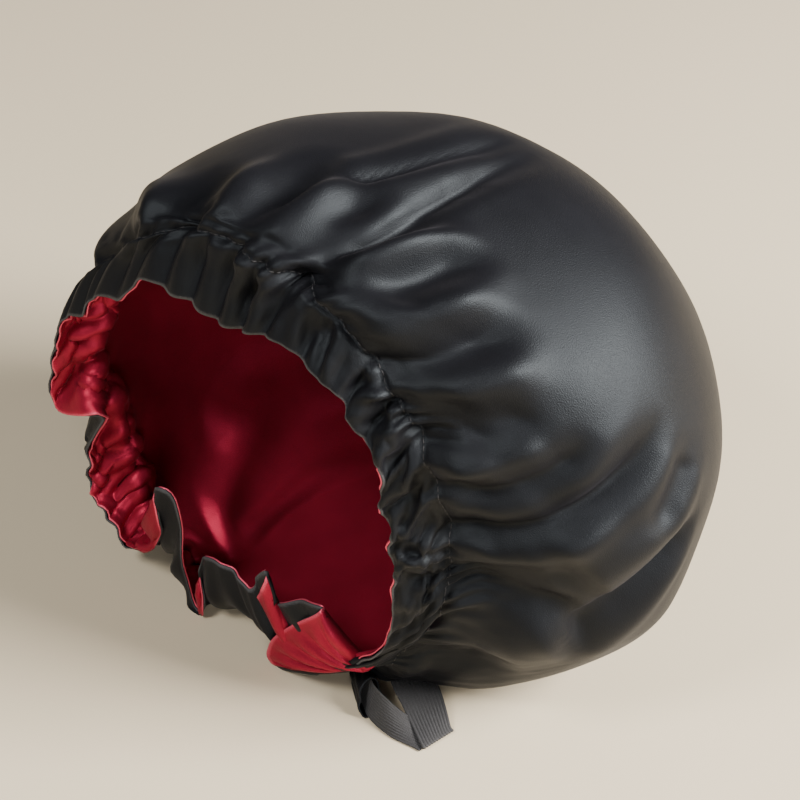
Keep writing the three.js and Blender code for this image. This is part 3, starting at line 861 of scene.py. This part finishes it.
def sheet_normals(points, out, rounds):
    """The outward normals of a sheet, evened out over a few neighbours."""
    around = np.roll(points, -1, 1) - np.roll(points, 1, 1)
    normal = unit(np.cross(np.gradient(points, axis=0), around))
    for _ in range(rounds):
        up = np.concatenate([normal[:1], normal[:-1]])
        down = np.concatenate([normal[1:], normal[-1:]])
        side = np.roll(normal, 1, 1) + np.roll(normal, -1, 1)
        normal = unit(2 * normal + up + down + side)
    return normal if (normal * out).sum() >= 0 else -normal


def crumple_ripple(angle, reach):
    """Small ripples of the crumpled casing, shallower on the lobe that turns out."""
    degrees = np.degrees(angle)
    wide = 46 * angle + 1.2 * np.sin(5 * angle)
    wide = wide + 5 * reach / STITCH_REACH * np.sin(7 * angle + 1)
    fine = 87 * angle + 2 * np.sin(9 * angle)
    fine = fine - 4 * reach / STITCH_REACH * np.sin(4 * angle)
    small = np.sin(wide) + 0.5 * np.sin(fine)
    fading = (0.5 + 0.5 * smooth(reach / 0.06)) * smooth((0.17 - reach) / 0.06)
    lobe = np.exp(-(((degrees % 360 - LOBE_ANGLE) / LOBE_WIDTH) ** 4))
    return CRUMPLE_RIPPLE * small * fading * part("crumpled", degrees) * (1 - 0.75 * lobe)


def casing_billow(angle, reach):
    """Small round billows of the near casing, with creases between them."""
    near_side = part("near side", np.degrees(angle) + NEAR_SIDE_TURN)
    swing = BILLOW_COUNT * angle + 2.2 * np.sin(6 * angle + 0.5)
    swing = swing + 3.5 * reach / STITCH_REACH * np.sin(9 * angle + 1)
    billow = np.sqrt(np.sin(swing) ** 2 + 0.01) - 0.55
    billow = billow + 0.5 * np.sin(2.3 * swing + 5 * reach / STITCH_REACH)
    back, front = smooth((0.18 - reach) / 0.08), 0.4 + 0.6 * smooth(reach / 0.03)
    return CASING_BILLOW * billow * near_side * back * front


# %% Crown
crown_points, crown_out = crown_layer(A, R, CROWN_SHARPNESS)
crown_points = crown_points + settled_move
ripple = crumple_ripple(A, R) + casing_billow(A, R)
crown_points = crown_points + sheet_normals(crown_points, crown_out, 6) * ripple[..., None]
tip_point = form_point(np.array([np.pi / 2]), np.array([1.0]))
crown = sheet_mesh("crown_satin_sheet", to_metres(crown_points), to_metres(tip_point))
mark_hem_highlight(crown)
finish_sheet(crown, SATIN_THICKNESS)

# %% [markdown]
# ## The lining
# The lining is stitched to the crown at the hem and the casing, and hangs loose behind it. So it
# follows every pucker of the casing, with round puckers of its own on the far side and small
# folds on the lobe that turns out. Behind the casing it takes its own broad folds. Points that
# come too near the crown are moved back inside it.

# %% Form of the lining
LINING_PUCKER, LOBE_FOLD, LINING_SLACK, LINING_SHARPNESS = 6.5, 2.6, 2.5, 0.3
LINING_DRIFT = named("height count shift", [
    [1, 4, 1.5],
    [0.7, 9, 0],
    [0.4, 17, 2],
])
LINING_FOLDS = named(FOLD_COLUMNS, [
    [249, 0.2, 236, 0.34, 221, 0.58, 1.5, -1.1, 0],
    [251, 0.22, 249, 0.38, 247, 0.6, 0.7, -0.9, 0],
    [266, 0.18, 263, 0.35, 264, 0.54, 1.3, -1.05, 0],
    [226, 0.34, 222, 0.48, 222, 0.68, 1.7, -0.6, 0],
])


def lining_layer(angle, reach):
    """The loose part of the lining, in millimetres from the mouth."""
    degrees = np.degrees(angle)
    out, round_it = form_frame(angle, reach)
    gather, turn = gather_field(degrees, reach)
    rise, _ = fold_field(degrees, reach, LINING_SHARPNESS)
    height = gather + np.minimum(rise, 0) * smooth(reach / 0.1)
    height = height - LINING_SLACK * smooth(reach / 0.15)
    for fold in LINING_FOLDS:
        distance, _, share = beside_fold(fold, degrees, reach)
        x = distance / (fold["width"] * FOLD_WIDTH)
        fade = smooth(share / 0.3) * smooth((1 - share) / 0.3)
        height = height + fold["rise"] * np.exp(-x * x) * fade * FOLD_DEPTH
    pleats = np.where(reach < STITCH_REACH, 1.0, 0.6) * puckers(angle, reach)
    point = form_point(angle, reach) + out * (height + pleats)[..., None]
    return point + round_it * turn[..., None]


def lining_puckers(angle, reach):
    """The lining's own puckers and folds inside the casing, in millimetres inwards."""
    degrees = np.degrees(angle)
    lean = np.sin(6 * angle + 2) * (reach / STITCH_REACH - 0.4)
    phase = 21 * angle + 0.55 * waves(angle, LINING_DRIFT) + 0.35 * lean
    ridge = np.abs(np.sin(phase)) ** 2.6
    tall = 0.65 + 0.35 * np.sin(11 * angle + 1) * np.sin(5 * angle)
    ends = (0.25 + 0.75 * smooth(reach / 0.04)) * smooth((0.21 - reach) / 0.10)
    lobe = part("turned-out lobe", degrees) * smooth(reach / 0.03)
    folds = np.abs(np.sin(54 * angle + 2.5 * reach / STITCH_REACH)) ** 1.6
    folds = folds * smooth((0.12 - reach) / 0.05)
    pucker = LINING_PUCKER * ridge * tall * part("lining puckers", degrees) * ends
    return pucker + LOBE_FOLD * folds * lobe


def keep_inside(points, crown_mesh, clearances, doubled):
    """Moves points that touch or pass the crown back inside it, apart from doubled cloth."""
    surface = BVHTree.FromPolygons(
        [vertex.co for vertex in crown_mesh.vertices],
        [polygon.vertices for polygon in crown_mesh.polygons],
    )
    moved = 0
    flat_points = points.reshape(-1, 3)
    for index, point in enumerate(flat_points):
        if doubled[index]:
            continue
        near, normal, _, _ = surface.find_nearest(point)
        room = (near - Vector(point)).dot(normal)
        if room < clearances[index]:
            flat_points[index] = point - np.array(normal) * (clearances[index] - room)
            moved += 1
    return moved


# %% Lining
INSIDE, LEAST_INSIDE = SATIN_THICKNESS + 0.3, 0.95
LOOSE_GAP, LOOSE_OVER = LAYER_GAP + 0.4, 0.07
DOUBLED_FROM, DOUBLED_TO, DOUBLED_REACH = 225, 354, 1.1 * STITCH_REACH
LINING_LIFT, TIP_GAP = 1.3, 5.0


def keep_room(points, room_wanted):
    """Moves points inwards until they have their room under the crown."""
    room = ((crown_points - points) * lining_ways).sum(-1)
    return points - lining_ways * np.maximum(0, room_wanted - room)[..., None]


crown_normals = sheet_normals(crown_points, crown_out, 2)
sheared = part("sheared casing", np.degrees(A))
lining_ways = unit(crown_normals + (crown_out - crown_normals) * sheared[..., None])
loose = smooth((R - STITCH_REACH) / LOOSE_OVER)
inner = INSIDE * (1 + sheared) + lining_puckers(A, R)
stitched_lining = crown_points - lining_ways * inner[..., None]
loose_lining = lining_layer(A, R) + settled_move + hem_move(np.degrees(A), R)
lining_points = stitched_lining + (loose_lining - stitched_lining) * loose[..., None]
lining_points = keep_room(lining_points, inner + LOOSE_GAP * loose)

crown_side = sheet_mesh("crown_side", crown_points)
turned = np.degrees(A) % 360
doubled = (turned > DOUBLED_FROM) & (turned < DOUBLED_TO) & (R < DOUBLED_REACH)
doubled = doubled.ravel()
clearances = (INSIDE * (0.9 + 0.6 * smooth((R - 0.09) / 0.02))).ravel()
for _ in range(3):
    moved = keep_inside(lining_points, crown_side.data, clearances, doubled)
    print("lining points moved inside", moved)
bpy.data.objects.remove(crown_side)
lining_points = keep_room(lining_points, LEAST_INSIDE * INSIDE)
lining_points[..., 2] = np.maximum(lining_points[..., 2], LINING_LIFT)
lining_tip = tip_point - np.array([0, TIP_GAP, 0])
lining = sheet_mesh("lining_satin_sheet", to_metres(lining_points), to_metres(lining_tip))
mark_hem_highlight(lining)
finish_sheet(lining, LINING_THICKNESS)

# %% [markdown]
# ## Stitches
# One row of stitches closes the casing. Each stitch is a short arched thread whose ends dive
# into the cloth. They follow the crown's own row of points, so they climb every pucker.

# %% Stitches
STITCH_LENGTH, STITCH_PITCH, STITCH_ARCH, STITCH_SINK = 2.5, 3.3, 0.34, 0.12
THREAD_RADIUS, THREAD_SIDES, THREAD_RINGS = 0.21, 6, (0, 0.2, 0.5, 0.8, 1)


def tube_faces(rings, sides, base=0):
    """Faces of a closed tube whose points begin at the base."""
    faces = []
    for k in range(rings - 1):
        for i in range(sides):
            a, b = base + sides * k + i, base + sides * k + (i + 1) % sides
            faces.append((a, b, b + sides, a + sides))
    faces.append(tuple(range(base + sides - 1, base - 1, -1)))
    faces.append(tuple(range(base + sides * (rings - 1), base + sides * rings)))
    return faces


def stitch_ring(points, normals):
    """Small arched threads along a closed row of points."""
    ring = np.concatenate([points, points[:1]])
    ways = np.concatenate([normals, normals[:1]])
    run = np.concatenate([[0], np.cumsum(np.linalg.norm(np.diff(ring, axis=0), axis=1))])

    def along(values, at):
        return np.array([np.interp(at, run, values[:, axis]) for axis in range(3)])

    verts, faces = [], []
    starts = np.arange(0, run[-1] - STITCH_LENGTH, STITCH_PITCH)
    for start in starts:
        faces += tube_faces(len(THREAD_RINGS), THREAD_SIDES, len(verts))
        for share in THREAD_RINGS:
            at = start + share * STITCH_LENGTH
            middle, up = along(ring, at), unit(along(ways, at))
            side = unit(np.cross(unit(along(ring, at + 0.3) - middle), up))
            middle = middle + up * (STITCH_ARCH * np.sin(np.pi * share) - STITCH_SINK)
            for turn in turns(THREAD_SIDES):
                way = side * np.cos(turn) + up * np.sin(turn)
                verts.append(middle + way * THREAD_RADIUS)
    print(len(starts), "stitches")
    return np.array(verts), faces


stitch_row = int(np.argmin(np.abs(reaches - STITCH_REACH)))
stitch_points, stitch_faces = stitch_ring(crown_points[stitch_row], crown_normals[stitch_row])
stitches = add_mesh("casing_stitches", to_metres(stitch_points), stitch_faces)
face_outwards(stitches)
bpy.ops.object.shade_smooth()

# %% [markdown]
# ## The elastic
# A flat woven elastic, ribbed along its length, is pulled out under the casing as a loop. It
# stands on its edge on the way out, folds over at the tip and lies flat on the way back.

# %% Elastic loop
ELASTIC_WIDTH, ELASTIC_THICKNESS, ELASTIC_RIBS = 16, 1.0, 12
ELASTIC_STEPS, RIB_STEPS, RIB_VALLEY, RIB_ROUNDNESS = 140, 8, 0.25, 0.7
LOOP = table("out back up turn tilt wide", [
    [0.6, 0.52, 0.42, 118, 40, 0.9],
    [0.68, 0.36, 0.47, 118, 54, 0.98],
    [0.765, 0.2, 0.49, 121, 60, 1.04],
    [0.875, 0.15, 0.43, 137, 50, 1.06],
    [0.98, 0.25, 0.165, 138, 14, 1],
    [1.045, 0.35, 0.06, 108, 2, 1.03],
    [1.082, 0.413, 0.045, 79, 0, 1.07],
    [1.098, 0.427, 0.094, 79, 0, 1.07],
    [1.082, 0.43, 0.144, 79, 0, 1.07],
    [1.005, 0.577, 0.275, 60, 4, 1.08],
    [0.92, 0.743, 0.41, 56, 2, 1.18],
    [0.83, 0.907, 0.5, 56, 0, 1.25],
    [0.77, 1.02, 0.6, 56, 0, 1.15],
])


def band_course():
    """The elastic's middle, half its width as a way across, and its upward way."""
    a, b = np.radians(LOOP["turn"]), np.radians(LOOP["tilt"])
    middle = np.stack([
        LOOP["out"] * MOUTH_WIDTH / 2, LOOP["back"] * CASING_LENGTH, LOOP["up"] * ELASTIC_WIDTH,
    ], -1)
    across = np.stack([np.cos(a) * np.cos(b), np.sin(a) * np.cos(b), np.sin(b)], -1)
    across = across * (LOOP["wide"] * ELASTIC_WIDTH / 2)[:, None]
    steps = np.linspace(0, len(middle) - 1, ELASTIC_STEPS)
    both = smooth_sample(np.concatenate([middle, across], 1), steps)
    middle, across = both[:, :3], both[:, 3:]
    return middle, across, unit(np.cross(np.gradient(middle, axis=0), across))


def elastic_mesh():
    """The ribbed band and its length in millimetres."""
    middle, across, up = band_course()
    u = np.linspace(-1, 1, ELASTIC_RIBS * RIB_STEPS + 1)
    rib = np.abs(np.sin(np.pi * ELASTIC_RIBS * (u + 1) / 2)) ** RIB_ROUNDNESS
    rib = 0.5 * ELASTIC_THICKNESS * (RIB_VALLEY + (1 - RIB_VALLEY) * rib)
    top = middle[:, None] + across[:, None] * u[None, :, None] + up[:, None] * rib[None, :, None]
    under = middle[:, None] + across[:, None] * u[None, ::-1, None]
    under = under - up[:, None] * rib[None, ::-1, None]
    ring = np.concatenate([top, under], 1)
    length = np.linalg.norm(np.diff(middle, axis=0), axis=1).sum()
    print("elastic", round(length), "mm long")
    return add_mesh("elastic_band", to_metres(ring), tube_faces(*ring.shape[:2])), length


elastic, elastic_length = elastic_mesh()
face_outwards(elastic)
bpy.ops.object.shade_smooth()

# %% [markdown]
# ## The casing's end
# The elastic leaves the casing through the end of its satin channel. That end is a short creased
# sleeve round the elastic, so it is built on the elastic's own course and flares at its mouth.

# %% Casing end
SLEEVE_ROWS, SLEEVE_COLUMNS, SLEEVE_THICKNESS = 21, 48, 0.7
SLEEVE_WIDTH, SLEEVE_DEPTH, SLEEVE_FLARE = 1.12, 4.2, 1.3


def sleeve_points():
    """Rings of points round the first stretch of the elastic."""
    middle, across, up = (way[:SLEEVE_ROWS] for way in band_course())
    along = np.linspace(0, 1, SLEEVE_ROWS)[:, None]
    v = turns(SLEEVE_COLUMNS)[None]
    crease = 0.5 * np.sin(5 * v + 3 * along) + 0.35 * np.sin(9 * v - 4 * along)
    wide = SLEEVE_WIDTH + 0.05 * along - 0.12 * (1 - along) ** 2
    deep = SLEEVE_DEPTH + SLEEVE_FLARE * along**2 + crease
    ring = middle[:, None] + across[:, None] * (wide * np.cos(v))[..., None]
    return ring + up[:, None] * (deep * np.sin(v))[..., None]


sleeve_ring = sleeve_points()
sleeve = sheet_mesh("casing_end", to_metres(sleeve_ring))
face_outwards(sleeve)
finish_sheet(sleeve, SLEEVE_THICKNESS)

# %% [markdown]
# ## Satin
# Satin is smooth and dense, so its gloss is broad and soft. A fine weave breaks the highlights
# into a slight grain, and the gloss varies a little. Along the hem's folded edge a painted
# highlight lightens the colour.

# %% Materials
CLOUD_SCALE, WEAVE_SCALE, WEAVE_DEPTH = 40.0, 2100.0, 0.00016
DARKER, LIGHTER, GLOSS_SWING = 0.72, 1.32, 0.12
# The edge colour of each satin is a painted highlight along the hem's folded edge.
SATINS = {
    "black_satin": dict(
        colour=(0.0036, 0.0036, 0.0048), hem_highlight=(0.05, 0.05, 0.053), roughness=0.50, grain=1.0,
        gloss=0.17, gloss_tint=(0.8, 0.92, 1, 1), sheen=0.02, sheen_tint=(0.8, 0.76, 0.85, 1),
        metal=0,
    ),
    "wine_satin": dict(
        colour=(0.24, 0.012, 0.031), hem_highlight=(0.70, 0.10, 0.16), roughness=0.40, grain=0.7,
        gloss=0.4, gloss_tint=(1, 0.12, 0.22, 1), sheen=0.04, sheen_tint=(1.0, 0.35, 0.45, 1),
        metal=0.5,
    ),
}


def satin(name, colour, hem_highlight, roughness, grain, gloss, gloss_tint, sheen, sheen_tint, metal):
    """Satin with a fine grain, cloudy gloss and a painted highlight along the hem."""
    material, shader, place = new_material(
        name, Roughness=roughness, Metallic=metal, Sheen_Roughness=0.4, Sheen_Weight=sheen,
        Sheen_Tint=sheen_tint, Specular_IOR_Level=gloss, Specular_Tint=gloss_tint,
    )
    cloud = place.node("ShaderNodeTexNoise", Vector=place, Scale=CLOUD_SCALE, Detail=3.0)
    weave = place.node("ShaderNodeTexNoise", Vector=place, Scale=WEAVE_SCALE, Detail=2.0)
    # The hem mark mixes in the edge colour: a painted highlight along the hem's folded edge.
    hem = place.node("ShaderNodeAttribute", {"attribute_name": "hem"})
    dark = (*(c * DARKER for c in colour), 1)
    light = (*(min(1, c * LIGHTER) for c in colour), 1)
    stops = [(0.3, dark), (0.7, light), (1.0, (*hem_highlight, 1))]
    mix = weave * 0.6 + cloud * 0.4 + hem * 0.6
    link(place.node("ShaderNodeValToRGB", {"stops": stops}, Fac=mix), shader, "Base Color")
    link(roughness - GLOSS_SWING / 2 + cloud * GLOSS_SWING, shader, "Roughness")
    bump = place.node("ShaderNodeBump", Height=weave, Strength=grain, Distance=WEAVE_DEPTH)
    link(bump, shader, "Normal")
    return material


def yarn(name, scale, stops, **constants):
    """A matt yarn, with its knit wrapped for a bump."""
    material, shader, place = new_material(name, **constants)
    knit = place.node("ShaderNodeTexNoise", Vector=place, Scale=scale, Detail=2.0)
    link(place.node("ShaderNodeValToRGB", {"stops": stops}, Fac=knit), shader, "Base Color")
    return material, shader, knit


black_satin, wine_satin = (satin(name, **look) for name, look in SATINS.items())
ELASTIC_STOPS = [(0.3, (0.007, 0.007, 0.008, 1)), (0.75, (0.022, 0.022, 0.025, 1))]
THREAD_STOPS = [(0.3, (0.008, 0.008, 0.009, 1)), (0.7, (0.025, 0.024, 0.028, 1))]
woven, shader, knit = yarn(
    "woven_elastic", 1500.0, ELASTIC_STOPS, Roughness=0.7, Sheen_Weight=0.06
)
link(knit.node("ShaderNodeBump", Height=knit, Strength=0.5, Distance=0.0003), shader, "Normal")
thread, _, _ = yarn("black_thread", 3000.0, THREAD_STOPS, Roughness=0.6)
for piece, material in [
    (crown, black_satin),
    (lining, wine_satin),
    (sleeve, black_satin),
    (elastic, woven),
    (stitches, thread),
]:
    piece.data.materials.append(material)
    print(piece.name, "has", material.name)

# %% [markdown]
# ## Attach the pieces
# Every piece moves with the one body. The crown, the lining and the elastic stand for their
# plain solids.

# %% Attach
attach(stitches, "root")

for piece, node, finish in [
    (crown, "outer_crown", "crown_satin"),
    (lining, "lining", "lining_satin"),
    (elastic, "elastic_loop", "elastic_woven"),
]:
    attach(piece, "root")
    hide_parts(node)

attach(sleeve, "root")
sleeve_round = np.linalg.norm(np.roll(sleeve_ring, -1, 1) - sleeve_ring, axis=-1).sum(1).mean()
